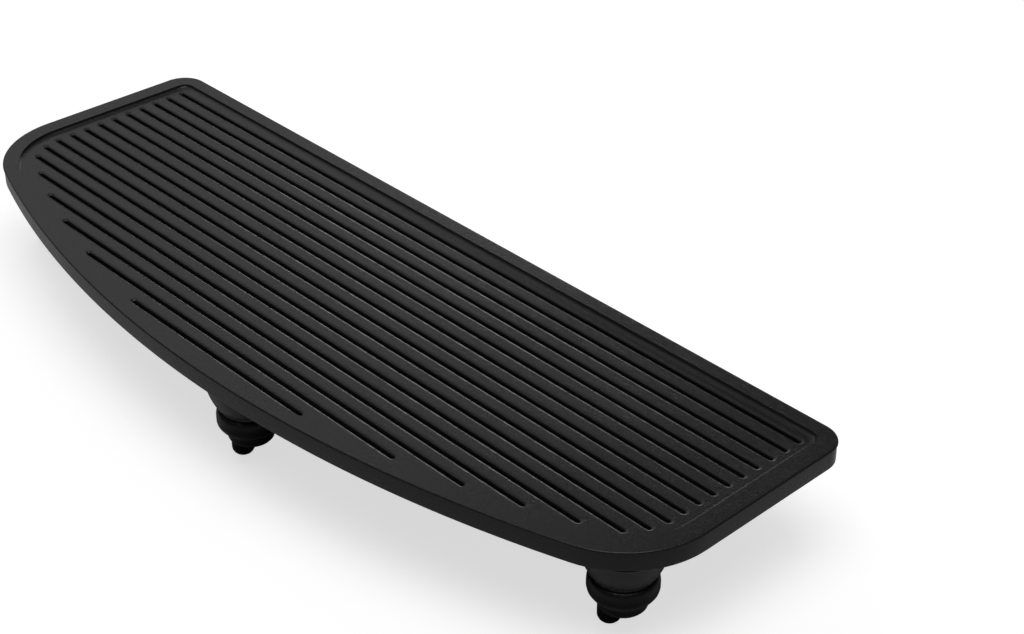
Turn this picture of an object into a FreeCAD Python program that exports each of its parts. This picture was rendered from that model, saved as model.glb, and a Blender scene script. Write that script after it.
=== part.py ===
"""Rubber insert pad for a motorcycle rider floorboard.

One compression-moulded rubber piece: a D-shaped pad with a low raised border, a field of
straight round-ended drainage grooves, and push-in lugs on the underside.
X runs along the grooves, +Y is the straight inner edge, +Z is up. The origin is on the
ground under the middle of the pad, at the level of the lug tips. All sizes are in mm.
"""
import FreeCAD, Part
import math
import os

# Plan of the pad: straight inner edge, leaning ends, bowed outer side
inner_length = 322.4        # along the straight inner edge, corners taken as sharp
pad_width = 116.0           # inner edge to the crown of the bowed side
end_lean = 0.024            # outward lean of each end, mm per mm towards the bowed side
bow_radius = 434.0          # curve of the outer side
outer_corner = 32.0         # corner radius at the ends of the bowed side
inner_corner = 9.0          # corner radius at the ends of the inner edge

# Section of the pad
pad_thickness = 6.7         # underside to the top of the border
border_width = 5.3          # flat top of the raised border along the two long sides
end_border_extra = 1.1      # extra width of the border at the two ends
border_height = 1.2         # border above the grooved field
border_slope = 0.7          # sloped inner side of the border, across and down
edge_radius = 0.6           # rounded top outer edge
lip_height = 0.8            # top band down to the mould parting step
lip_step = 0.3              # overhang of the top band over the side wall
foot_bevel = 0.4            # bevelled lower edge of the side wall

# Grooves of the field
groove_count = 17
groove_pitch = 6.0
groove_first = 10.5         # inner edge to the centre of the first groove
groove_width = 1.6          # between the walls, below the bevelled shoulders
groove_depth = 1.9
shoulder_run = 0.5          # width of the bevel between field and groove wall
shoulder_drop = 0.45        # depth of that bevel
groove_margin = 9.9         # inner end line of the pad to the groove tips
groove_bow_margin = 6.9     # bowed side to the crown of the curve that trims the tips
groove_bow_radius = 353.0   # curve that trims the tips along the bowed side
groove_corner_margin = 11.2 # outer corner of the pad to the tips that follow it

# Push-in lugs
end_lug_x = 144.2           # lugs near the two ends, each side of the middle
end_lug_inset = 74.6        # inner edge to the end lugs
middle_lug_x = 9.6          # the two lugs near the middle
outer_lug_inset = 14.4      # crown of the bowed side to the outer middle lug
inner_lug_inset = 14.4      # inner edge to the inner middle lug
boss_top_r = 13.3           # boss at the underside
boss_low_r = 10.2           # boss at its lower end
boss_height = 9.4
boss_lip = 0.8              # bevel of the lower end of the boss
boss_sunk = 2.0             # root of the boss inside the pad
neck_r = 9.1                # shallow groove that takes the rim of the hole
neck_height = 1.3
head_r = 10.4               # bulging head below the neck
head_height = 8.0
head_shoulder = 1.7         # slope from the neck out to the head
head_flank = 2.8            # upright side of the head
cap_r = 7.4                 # lower step of the head
cap_height = 3.4
cap_bevel = 1.3
nub_r = 3.6                 # pull nub under the cap
nub_length = 8.3
nub_shift = 5.0             # nub off the lug axis, towards -X
nub_bevel = 1.4             # bevelled end of the nub

# Heights above the ground, from the sizes above
underside_z = boss_height + neck_height + head_height + cap_height + nub_length
border_z = underside_z + pad_thickness
field_z = border_z - border_height
inner_y = pad_width / 2.0
outer_y = -pad_width / 2.0
bow_centre = outer_y + bow_radius
lean_scale = math.hypot(1.0, end_lean)


def end_line_x(y, inset, short):
    """X of the leaning end line, moved inwards by inset and by short along X."""
    return inner_length / 2.0 - short + end_lean * (inner_y - y) - inset * lean_scale


def corner_centre(short):
    """Centre of the outer corner: inside the end line, and inside the bow."""
    reach = bow_radius - outer_corner
    low = outer_y
    high = inner_y
    for step in range(60):
        y = (low + high) / 2.0
        x = end_line_x(y, outer_corner, short)
        if math.hypot(x, y - bow_centre) > reach:
            low = y
        else:
            high = y
    return x, y


def pad_outline(inset, z, short):
    """Closed wire parallel to the edge of the pad, moved inwards by inset, its ends by short as well."""
    bow = bow_radius - inset
    r_out = outer_corner - inset
    r_in = max(inner_corner - inset, 0.6)
    cx, cy = corner_centre(short)
    # where the outer corner leaves the bow and meets the end line
    away = math.atan2(cy - bow_centre, cx)
    bow_end = FreeCAD.Vector(bow * math.cos(away), bow_centre + bow * math.sin(away), z)
    side = FreeCAD.Vector(1.0, end_lean, 0.0) * (1.0 / lean_scale)
    corner = FreeCAD.Vector(cx, cy, z)
    corner_end = corner + side * r_out
    outward = FreeCAD.Vector(math.cos(away), math.sin(away), 0.0)
    corner_mid = corner + (outward + side).normalize() * r_out
    # inner corner between the end line and the straight edge
    iy = inner_y - inset - r_in
    inner = FreeCAD.Vector(end_line_x(iy, inset + r_in, short), iy, z)
    inner_start = inner + side * r_in
    up = FreeCAD.Vector(0.0, 1.0, 0.0)
    inner_mid = inner + (side + up).normalize() * r_in
    inner_end = inner + up * r_in
    crown = FreeCAD.Vector(0.0, outer_y + inset, z)

    def flip(p):
        return FreeCAD.Vector(-p.x, p.y, p.z)

    edges = [
        Part.Arc(flip(bow_end), crown, bow_end).toShape(),
        Part.Arc(bow_end, corner_mid, corner_end).toShape(),
        Part.makeLine(corner_end, inner_start),
        Part.Arc(inner_start, inner_mid, inner_end).toShape(),
        Part.makeLine(inner_end, flip(inner_end)),
        Part.Arc(flip(inner_end), flip(inner_mid), flip(inner_start)).toShape(),
        Part.makeLine(flip(inner_start), flip(corner_end)),
        Part.Arc(flip(corner_end), flip(corner_mid), flip(bow_end)).toShape(),
    ]
    return Part.Wire(edges)


def slab(inset, z_low, z_high, short=0.0):
    """Upright solid inside the outline moved inwards by inset."""
    base = Part.Face(pad_outline(inset, z_low, short))
    return base.extrude(FreeCAD.Vector(0.0, 0.0, z_high - z_low))


def edges_at(solid, z):
    """Edges that lie at height z."""
    return [e for e in solid.Edges if abs(e.BoundBox.ZMin - z) < 0.01 and abs(e.BoundBox.ZMax - z) < 0.01]


# Pad body: side wall under an overhanging top band with a rounded edge
wall = slab(lip_step, underside_z, border_z - edge_radius)
wall = wall.makeChamfer(foot_bevel, edges_at(wall, underside_z))
band = slab(0.0, border_z - lip_height, border_z)
band = band.makeFillet(edge_radius, edges_at(band, border_z))
pad = wall.fuse(band)
# field sunk inside the border, with the inner side of the border sloped
pad = pad.cut(slab(border_width + border_slope, field_z, border_z, end_border_extra))
border_top = [f for f in pad.Faces if f.BoundBox.ZMin > border_z - 0.01][0]
inner_loop = [w for w in border_top.Wires if not w.isSame(border_top.OuterWire)][0]
pad = pad.makeChamfer(border_slope, inner_loop.Edges)


# Grooves: bevelled shoulders, upright walls and round ends
def groove_section(y, x, sign):
    """Half section of a groove at x, on the side of its middle that sign gives."""
    half = groove_width / 2.0
    over = 2.0 * border_height
    corners = [
        (0.0, over),
        (half + shoulder_run, over),
        (half + shoulder_run, 0.0),
        (half, -shoulder_drop),
        (half, -groove_depth),
        (0.0, -groove_depth),
        (0.0, over),
    ]
    return Part.Face(Part.makePolygon([FreeCAD.Vector(x, y + sign * d, field_z + h) for d, h in corners]))


def groove_cutter(y, tip):
    reach = tip - groove_width / 2.0
    near = groove_section(y, reach, 1.0)
    far = groove_section(y, reach, -1.0)
    along = FreeCAD.Vector(-2.0 * reach, 0.0, 0.0)
    # round ends: the half section turned about an upright axis
    end = near.revolve(FreeCAD.Vector(reach, y, field_z), FreeCAD.Vector(0.0, 0.0, 1.0), -180.0)
    other_end = end.mirror(FreeCAD.Vector(0.0, 0.0, 0.0), FreeCAD.Vector(1.0, 0.0, 0.0))
    return near.extrude(along).fuse([far.extrude(along), end, other_end]).removeSplitter()


def groove_tip(y):
    """Distance of a groove tip from the middle of the pad."""
    straight = inner_length / 2.0 - groove_margin
    centre = outer_y + groove_bow_margin + groove_bow_radius
    bowed = math.sqrt(max(groove_bow_radius ** 2 - (y - centre) ** 2, 0.0))
    cx, cy = corner_centre(0.0)
    reach = outer_corner - groove_corner_margin
    corner = cx + math.sqrt(max(reach ** 2 - min(y - cy, 0.0) ** 2, 0.0))
    return min(straight, bowed, corner)


cutters = []
for k in range(groove_count):
    y = inner_y - groove_first - k * groove_pitch
    cutters.append(groove_cutter(y, groove_tip(y)))
pad = pad.cut(cutters)


# Lugs: tapered boss, shallow neck, bulging head with a lower cap, off-centre pull nub
def turned(profile):
    """Solid turned about the Z axis from (radius, height) points that start and end on the axis."""
    loop = [FreeCAD.Vector(r, 0.0, z) for r, z in profile + profile[:1]]
    face = Part.Face(Part.makePolygon(loop))
    return face.revolve(FreeCAD.Vector(0.0, 0.0, 0.0), FreeCAD.Vector(0.0, 0.0, 1.0), 360.0)


def lug(x, y):
    boss_end = underside_z - boss_height
    neck_end = boss_end - neck_height
    head_end = neck_end - head_height
    cap_end = head_end - cap_height
    body = turned([
        (0.0, underside_z + boss_sunk),
        (boss_top_r, underside_z + boss_sunk),
        (boss_top_r, underside_z),
        (boss_low_r, boss_end + boss_lip),
        (neck_r, boss_end),
        (neck_r, neck_end),
        (head_r, neck_end - head_shoulder),
        (head_r, neck_end - head_shoulder - head_flank),
        (cap_r, head_end),
        (cap_r, cap_end + cap_bevel),
        (cap_r - cap_bevel, cap_end),
        (0.0, cap_end),
    ])
    nub = turned([
        (0.0, head_end),
        (nub_r, head_end),
        (nub_r, nub_bevel),
        (nub_r - nub_bevel, 0.0),
        (0.0, 0.0),
    ])
    nub.translate(FreeCAD.Vector(-nub_shift, 0.0, 0.0))
    piece = body.fuse(nub)
    piece.translate(FreeCAD.Vector(x, y, 0.0))
    return piece


lug_places = [
    (end_lug_x, inner_y - end_lug_inset),
    (-end_lug_x, inner_y - end_lug_inset),
    (middle_lug_x, outer_y + outer_lug_inset),
    (middle_lug_x, inner_y - inner_lug_inset),
]
pad = pad.fuse([lug(x, y) for x, y in lug_places])
pad = pad.removeSplitter()

os.makedirs("parts", exist_ok=True)
pad.exportStep("parts/floorboard_pad.step")
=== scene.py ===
"""A black rubber insert pad for a motorcycle floorboard, lying grooved face up on a white table."""
import bpy
import bmesh
import math
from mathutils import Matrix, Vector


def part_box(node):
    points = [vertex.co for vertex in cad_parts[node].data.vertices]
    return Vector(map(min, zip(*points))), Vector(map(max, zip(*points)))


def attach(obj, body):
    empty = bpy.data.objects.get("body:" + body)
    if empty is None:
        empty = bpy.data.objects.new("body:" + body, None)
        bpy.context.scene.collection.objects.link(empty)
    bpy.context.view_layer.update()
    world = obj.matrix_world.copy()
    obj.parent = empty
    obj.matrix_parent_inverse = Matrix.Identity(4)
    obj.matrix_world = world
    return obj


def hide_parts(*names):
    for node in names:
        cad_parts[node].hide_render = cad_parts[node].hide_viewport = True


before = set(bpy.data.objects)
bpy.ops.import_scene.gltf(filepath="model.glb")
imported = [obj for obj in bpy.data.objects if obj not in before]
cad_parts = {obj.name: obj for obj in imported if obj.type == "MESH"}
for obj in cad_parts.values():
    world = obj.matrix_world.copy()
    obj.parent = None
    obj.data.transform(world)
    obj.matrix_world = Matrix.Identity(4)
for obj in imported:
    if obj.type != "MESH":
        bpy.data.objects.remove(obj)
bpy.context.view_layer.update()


# Floorboard pad
# One piece of black rubber, moulded in a heated two-part press, so every edge is a little rounded
# and a fine step runs round the side where the halves of the mould met.
# Lugs on its underside push through round holes in the metal floorboard and hold it there.
mm = 0.001                           # the sizes of the pad are in mm
cad_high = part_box("floorboard_pad")[1]
inner_y = cad_high[1] / mm           # the straight inner edge
outer_y = -inner_y                   # the crown of the bowed side
top_z = cad_high[2] / mm             # top of the border
pad_thickness = 6.7
underside_z = top_z - pad_thickness
half_end = 161.2                     # middle to the end line, at the inner edge
end_lean = 0.024                     # the ends open out towards the bowed side
bow_radius = 434.0
outer_corner = 32.0
inner_corner = 9.0


def arc(cx, cy, r, start, end, steps):
    """Points on an arc, angles in degrees, both ends included."""
    turn = [math.radians(start + (end - start) * k / steps) for k in range(steps + 1)]
    return [(cx + r * math.cos(t), cy + r * math.sin(t)) for t in turn]


def corner_centre(end_x):
    """Centre of the outer corner, which touches both the end line and the bow."""
    low, high = outer_y, inner_y
    for step in range(50):
        cy = (low + high) / 2.0
        cx = end_x + end_lean * (inner_y - cy) - outer_corner * math.hypot(1.0, end_lean)
        outside = math.hypot(cx, cy - outer_y - bow_radius) > bow_radius - outer_corner
        low, high = (cy, high) if outside else (low, cy)
    return cx, cy


def pad_outline(inset, at_ends, at_inner_edge):
    """The edge of the pad moved inwards, and more at the ends or at the straight inner edge.

    It runs counter-clockwise from the crown of the bow."""
    bow_y = outer_y + bow_radius
    lean = math.hypot(1.0, end_lean)
    end_x = half_end - at_ends
    cx, cy = corner_centre(end_x)
    side = math.degrees(math.atan(end_lean))
    away = math.degrees(math.atan2(cy - bow_y, cx))
    r_in = max(inner_corner - inset, 0.8)
    iy = inner_y - inset - at_inner_edge - r_in
    ix = end_x + end_lean * (inner_y - iy) - (inset + r_in) * lean
    half = arc(0.0, bow_y, bow_radius - inset, -90.0, away, 36)
    half += arc(cx, cy, outer_corner - inset, away, side, 18)[1:]
    half += arc(ix, iy, r_in, side, 90.0, 12)
    return half + [(-x, y) for x, y in reversed(half)][:-1]


pad_mesh = bmesh.new()


def add_ring(points, z):
    return [pad_mesh.verts.new((x * mm, y * mm, z * mm)) for x, y in points]


def skin(lower, upper):
    """Quads between two rings of equal length."""
    count = len(lower)
    for k in range(count):
        n = (k + 1) % count
        pad_mesh.faces.new((lower[k], lower[n], upper[n], upper[k]))


def skin_all(rings):
    for lower, upper in zip(rings, rings[1:]):
        skin(lower, upper)


def ring_edges(ring):
    return [pad_mesh.edges.get((a, b)) for a, b in zip(ring, ring[1:] + ring[:1])]


# side of the pad, from the underside over the parting step to the top of the border: (inset, height)
foot_radius = 0.45
lip_z = top_z - 0.8                  # mould parting step
lip_step = 0.3                       # overhang of the top band over the side wall
lip_bevel = 0.08
edge_radius = 0.5                    # top outer edge
flat_hold = 0.3                      # a ring this far from a curve keeps the flat beside it flat
foot_round = arc(0.0, 0.0, foot_radius, 80.0, 0.0, 5)
edge_round = arc(0.0, 0.0, edge_radius, 0.0, 90.0, 8)
side_profile = [(lip_step + 0.5, underside_z)]
side_profile += [(lip_step + foot_radius - x, underside_z + foot_radius - y) for x, y in foot_round]
side_profile += [(lip_step, lip_z - 0.2), (lip_step, lip_z), (lip_bevel, lip_z), (0.0, lip_z + lip_bevel)]
side_profile += [(edge_radius - x, top_z - edge_radius + y) for x, y in edge_round]
side_profile += [(edge_radius + flat_hold, top_z)]
side_rings = [add_ring(pad_outline(inset, 0.0, 0.0), z) for inset, z in side_profile]

# inner side of the border: a sharp upper edge, then a hollow that runs out into the sunk field;
# it is steep along the bowed side, where the grooves come close
border_width = 5.3                   # flat top, along the two long sides
end_border_extra = 1.1               # more of it at the two ends
border_height = 1.2
end_run_share = 0.65                 # the hollow is shorter at the ends
border_foot = [                      # run along the bowed side, run elsewhere, drop
    (-flat_hold, -flat_hold, 0.0),
    (0.0, 0.0, 0.0),
    (0.03, 0.1, 0.2),
    (0.06, 0.2, 0.45),
    (0.08, 0.36, 0.7),
    (0.1, 0.62, 0.9),
    (0.13, 0.95, 1.04),
    (0.15, 1.35, 1.13),
    (0.17, 1.8, 1.18),
    (0.19, 2.2, border_height),
    (0.22, 2.4, border_height),
]
for bow_run, run, drop in border_foot:
    at_ends = end_border_extra + end_run_share * run - bow_run
    outline = pad_outline(border_width + bow_run, at_ends, run - bow_run)
    side_rings.append(add_ring(outline, top_z - drop))
skin_all(side_rings)

# grooves: rounded shoulders, steep walls, round-cornered bottom: (half width, height over the field)
field_z = top_z - border_height
groove_count = 17
groove_pitch = 6.0
groove_first = 10.5                  # inner edge to the centre of the first groove
groove_half = 0.55                   # half the width between the walls
groove_depth = 1.9
bottom_radius = 0.25
wall_draft = 0.04                    # the walls close in towards the bottom
tip_end_margin = 9.9                 # end line to the tips
tip_bow_margin = 6.9                 # bowed side to the crown of the curve that trims the tips
tip_bow_radius = 353.0               # that curve
tip_corner_margin = 11.2             # outer corner to the tips that follow it
shoulder = [(1.21, 0.0), (1.15, 0.0), (1.0, -0.02), (0.8, -0.065), (0.6, -0.13)]
shoulder += [(0.41, -0.205), (0.26, -0.29), (0.14, -0.395), (0.06, -0.535)]
bottom_round = arc(groove_half - wall_draft - bottom_radius, bottom_radius, bottom_radius, 0.0, -90.0, 4)
groove_profile = [(groove_half + x, z) for x, z in shoulder]
groove_profile += [(groove_half, -0.75), (groove_half - 0.03, -1.5)]
groove_profile += [(x, y - groove_depth) for x, y in bottom_round]


def groove_outline(y, tip, half):
    """A slot with round ends: the tip is where the wall of the groove turns."""
    reach = tip - groove_half
    right = arc(reach, y, half, -90.0, 90.0, 16)
    left = arc(-reach, y, half, 90.0, 270.0, 16)
    return right + left


tip_bow_y = outer_y + tip_bow_margin + tip_bow_radius
tip_corner = outer_corner - tip_corner_margin
corner_x, corner_y = corner_centre(half_end)
groove_rims = []
for k in range(groove_count):
    y = inner_y - groove_first - k * groove_pitch
    bow_end = math.sqrt(tip_bow_radius ** 2 - (y - tip_bow_y) ** 2)
    corner_end = corner_x + math.sqrt(max(tip_corner ** 2 - min(y - corner_y, 0.0) ** 2, 0.0))
    tip = min(half_end - tip_end_margin, bow_end, corner_end)
    rings = [add_ring(groove_outline(y, tip, half), field_z + z) for half, z in groove_profile]
    skin_all(rings)
    pad_mesh.faces.new(rings[-1])
    groove_rims.append(rings[0])

# the flat of the field, between the border and the grooves
field_edges = ring_edges(side_rings[-1])
for rim in groove_rims:
    field_edges += ring_edges(rim)
bmesh.ops.triangle_fill(pad_mesh, use_beauty=True, edges=field_edges, normal=(0.0, 0.0, 1.0))

# lugs: tapered boss, neck, bulging head with a lower cap, and a pull nub off to one side: (radius, height)
boss_end = underside_z - 9.4
neck_end = boss_end - 1.3
head_end = neck_end - 8.0
cap_end = head_end - 3.4
nub_shift = 5.0
lug_profile = [(13.35, underside_z), (13.25, underside_z - 0.1), (13.05, underside_z - 0.7)]
lug_profile += [(12.7, underside_z - 2.2), (12.25, underside_z - 3.9), (11.65, underside_z - 5.7)]
lug_profile += [(10.9, underside_z - 7.4), (10.35, boss_end + 0.9), (10.2, boss_end + 0.55)]
lug_profile += [(9.95, boss_end + 0.2), (9.5, boss_end + 0.02), (9.1, boss_end)]
lug_profile += [(9.1, neck_end), (9.7, neck_end - 0.25), (10.15, neck_end - 0.8), (10.35, neck_end - 1.7)]
lug_profile += [(10.4, neck_end - 2.8), (10.4, neck_end - 4.2), (10.15, neck_end - 5.2), (9.5, neck_end - 6.2)]
lug_profile += [(8.7, neck_end - 6.95), (7.9, head_end + 0.4), (7.5, head_end - 0.15), (7.4, head_end - 0.9)]
lug_profile += [(7.35, cap_end + 1.5), (7.1, cap_end + 0.8), (6.6, cap_end + 0.25), (5.9, cap_end)]
nub_profile = [(3.6, head_end), (3.6, 1.9), (3.5, 1.4), (3.15, 0.7), (2.7, 0.2), (2.2, 0.0)]
end_lug_x = 144.2
end_lug_y = inner_y - 74.6
middle_lug_x = 9.6
middle_lug_inset = 14.4              # from the bowed side, and from the inner edge
lug_places = [
    (end_lug_x, end_lug_y),
    (-end_lug_x, end_lug_y),
    (middle_lug_x, outer_y + middle_lug_inset),
    (middle_lug_x, inner_y - middle_lug_inset),
]
underside_edges = ring_edges(side_rings[0])
for x, y in lug_places:
    rings = [add_ring(arc(x, y, r, 360.0, 7.5, 47), z) for r, z in lug_profile]
    skin_all(rings)
    pad_mesh.faces.new(rings[-1])
    underside_edges += ring_edges(rings[0])
    nub = [add_ring(arc(x - nub_shift, y, r, 360.0, 11.25, 31), z) for r, z in nub_profile]
    skin_all(nub)
    pad_mesh.faces.new(nub[-1])
    pad_mesh.faces.new(list(reversed(nub[0])))
bmesh.ops.triangle_fill(pad_mesh, use_beauty=True, edges=underside_edges, normal=(0.0, 0.0, -1.0))
bmesh.ops.recalc_face_normals(pad_mesh, faces=pad_mesh.faces)

pad_data = bpy.data.meshes.new("floorboard_pad_moulded")
pad_mesh.to_mesh(pad_data)
pad_mesh.free()
pad_data.polygons.foreach_set("use_smooth", [True] * len(pad_data.polygons))
pad_data.set_sharp_from_angle(angle=math.radians(40.0))
pad = bpy.data.objects.new("floorboard_pad_moulded", pad_data)
bpy.context.collection.objects.link(pad)

# black rubber: satin, with faint smears of mould release; the lug heads reflect less, a painted shade for the
# shadow they hang in under the pad
rubber = bpy.data.materials.new("black_rubber")
rubber.use_nodes = True
nodes = rubber.node_tree.nodes
links = rubber.node_tree.links
shader = nodes["Principled BSDF"]
place = nodes.new("ShaderNodeTexCoord")
# painted shade: the specular level falls towards the bottom of the lugs, so their heads show dark as in shade
height = nodes.new("ShaderNodeSeparateXYZ")
painted_head_shade = nodes.new("ShaderNodeMapRange")
painted_head_shade.inputs["From Min"].default_value = 0.016
painted_head_shade.inputs["From Max"].default_value = 0.0205
painted_head_shade.inputs["To Min"].default_value = 0.06
painted_head_shade.inputs["To Max"].default_value = 0.32
links.new(place.outputs["Object"], height.inputs["Vector"])
links.new(height.outputs["Z"], painted_head_shade.inputs["Value"])
links.new(painted_head_shade.outputs["Result"], shader.inputs["Specular IOR Level"])
smears = nodes.new("ShaderNodeTexNoise")
smears.inputs["Scale"].default_value = 22.0
smears.inputs["Detail"].default_value = 5.0
links.new(place.outputs["Object"], smears.inputs["Vector"])
tone = nodes.new("ShaderNodeValToRGB")
tone.color_ramp.elements[0].position = 0.35
tone.color_ramp.elements[0].color = (0.005, 0.005, 0.0052, 1.0)
tone.color_ramp.elements[1].position = 0.7
tone.color_ramp.elements[1].color = (0.008, 0.008, 0.0083, 1.0)
links.new(smears.outputs["Fac"], tone.inputs["Fac"])
links.new(tone.outputs["Color"], shader.inputs["Base Color"])
sheen = nodes.new("ShaderNodeMapRange")
sheen.inputs["From Min"].default_value = 0.3
sheen.inputs["From Max"].default_value = 0.7
sheen.inputs["To Min"].default_value = 0.2
sheen.inputs["To Max"].default_value = 0.28
links.new(smears.outputs["Fac"], sheen.inputs["Value"])
links.new(sheen.outputs["Result"], shader.inputs["Roughness"])
# its moulded grain, with fine streaks along the grooves
grain = nodes.new("ShaderNodeTexNoise")
grain.inputs["Scale"].default_value = 1700.0
grain.inputs["Detail"].default_value = 4.0
links.new(place.outputs["Object"], grain.inputs["Vector"])
along = nodes.new("ShaderNodeMapping")
along.inputs["Scale"].default_value = (0.3, 1.0, 1.0)
streaks = nodes.new("ShaderNodeTexNoise")
streaks.inputs["Scale"].default_value = 1500.0
streaks.inputs["Detail"].default_value = 2.0
links.new(place.outputs["Object"], along.inputs["Vector"])
links.new(along.outputs["Vector"], streaks.inputs["Vector"])
relief = nodes.new("ShaderNodeMath")
links.new(grain.outputs["Fac"], relief.inputs[0])
links.new(streaks.outputs["Fac"], relief.inputs[1])
bump = nodes.new("ShaderNodeBump")
bump.inputs["Strength"].default_value = 1.0
bump.inputs["Distance"].default_value = 0.0001
links.new(relief.outputs["Value"], bump.inputs["Height"])
links.new(bump.outputs["Normal"], shader.inputs["Normal"])
pad_data.materials.append(rubber)
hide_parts("floorboard_pad")
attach(pad, "root")


# Table
# A seamless sheet of white studio paper, rolled out flat under the pad.
# It takes the soft shadow, and shows as white to the camera further away from the pad.
floor_mesh = bpy.data.meshes.new("table")
floor_mesh.from_pydata([(-6, -6, 0), (6, -6, 0), (6, 6, 0), (-6, 6, 0)], [], [(0, 1, 2, 3)])
floor = bpy.data.objects.new("table", floor_mesh)
bpy.context.collection.objects.link(floor)
paper = bpy.data.materials.new("white_paper")
paper.use_nodes = True
nodes = paper.node_tree.nodes
links = paper.node_tree.links
matte = nodes["Principled BSDF"]
matte.inputs["Base Color"].default_value = (0.55, 0.55, 0.55, 1.0)
matte.inputs["Roughness"].default_value = 1.0
matte.inputs["Specular IOR Level"].default_value = 0.0
matte.inputs["Emission Color"].default_value = (1.0, 1.0, 1.0, 1.0)
seen = nodes.new("ShaderNodeLightPath")
spot = nodes.new("ShaderNodeNewGeometry")
away = nodes.new("ShaderNodeVectorMath")
away.operation = "LENGTH"
whiter = nodes.new("ShaderNodeMapRange")
whiter.inputs["From Min"].default_value = 0.3
whiter.inputs["From Max"].default_value = 0.9
whiter.inputs["To Min"].default_value = 0.66
whiter.inputs["To Max"].default_value = 1.0
lift = nodes.new("ShaderNodeMath")
lift.operation = "MULTIPLY"
links.new(spot.outputs["Position"], away.inputs[0])
links.new(away.outputs["Value"], whiter.inputs["Value"])
links.new(whiter.outputs["Result"], lift.inputs[1])
links.new(seen.outputs["Is Camera Ray"], lift.inputs[0])
links.new(lift.outputs["Value"], matte.inputs["Emission Strength"])
floor_mesh.materials.append(paper)


# Light
# A large panel stands behind the pad on the left and gives the flats their tone.
# A low strip behind on the right draws the bright lines along the grooves, and a soft box overhead
# lights the table. The room is dim, and white only to the camera.
world = bpy.data.worlds.new("white_room")
bpy.context.scene.world = world
world.use_nodes = True
nodes = world.node_tree.nodes
links = world.node_tree.links
room = nodes["Background"]
seen = nodes.new("ShaderNodeLightPath")
level = nodes.new("ShaderNodeMapRange")
level.inputs["To Min"].default_value = 0.12
level.inputs["To Max"].default_value = 1.0
links.new(seen.outputs["Is Camera Ray"], level.inputs["Value"])
links.new(level.outputs["Result"], room.inputs["Strength"])
room.inputs["Color"].default_value = (1.0, 1.0, 1.0, 1.0)
panel = bpy.data.lights.new("panel", "AREA")
panel.shape = "RECTANGLE"
panel.size = 1.7
panel.size_y = 1.2
panel.energy = 3.8
panel_object = bpy.data.objects.new("panel", panel)
panel_object.location = (-1.39, 0.4, 1.11)
panel_object.rotation_euler = (math.radians(-53.5), 0.0, math.radians(74.0))
bpy.context.collection.objects.link(panel_object)
strip = bpy.data.lights.new("strip", "AREA")
strip.shape = "RECTANGLE"
strip.size = 0.38
strip.size_y = 0.25
strip.energy = 0.67
strip_object = bpy.data.objects.new("strip", strip)
strip_object.location = (-0.62, 0.8, 0.205)
strip_object.rotation_euler = (math.radians(-90.0), 0.0, math.radians(29.0))
bpy.context.collection.objects.link(strip_object)
soft_box = bpy.data.lights.new("soft_box", "AREA")
soft_box.shape = "SQUARE"
soft_box.size = 1.3
soft_box.energy = 15.0
soft_box_object = bpy.data.objects.new("soft_box", soft_box)
soft_box_object.location = (0.2, -0.15, 1.6)
soft_box_object.rotation_euler = (math.radians(9.0), 0.0, math.radians(50.0))
bpy.context.collection.objects.link(soft_box_object)


# Camera
# A long lens on a stand, set at the height and distance from which the pad was photographed,
# in front of the bowed side and towards its right end.
camera_data = bpy.data.cameras.new("camera")
camera_data.sensor_width = 36.0
camera_data.lens = 76.488
camera_data.clip_end = 20.0
camera = bpy.data.objects.new("camera", camera_data)
camera.location = (0.466482, -0.356264, 0.402002)
camera.rotation_euler = (math.radians(57.393), math.radians(0.131), math.radians(47.158))
bpy.context.collection.objects.link(camera)
bpy.context.scene.camera = camera
bpy.context.scene.view_settings.view_transform = "Standard"
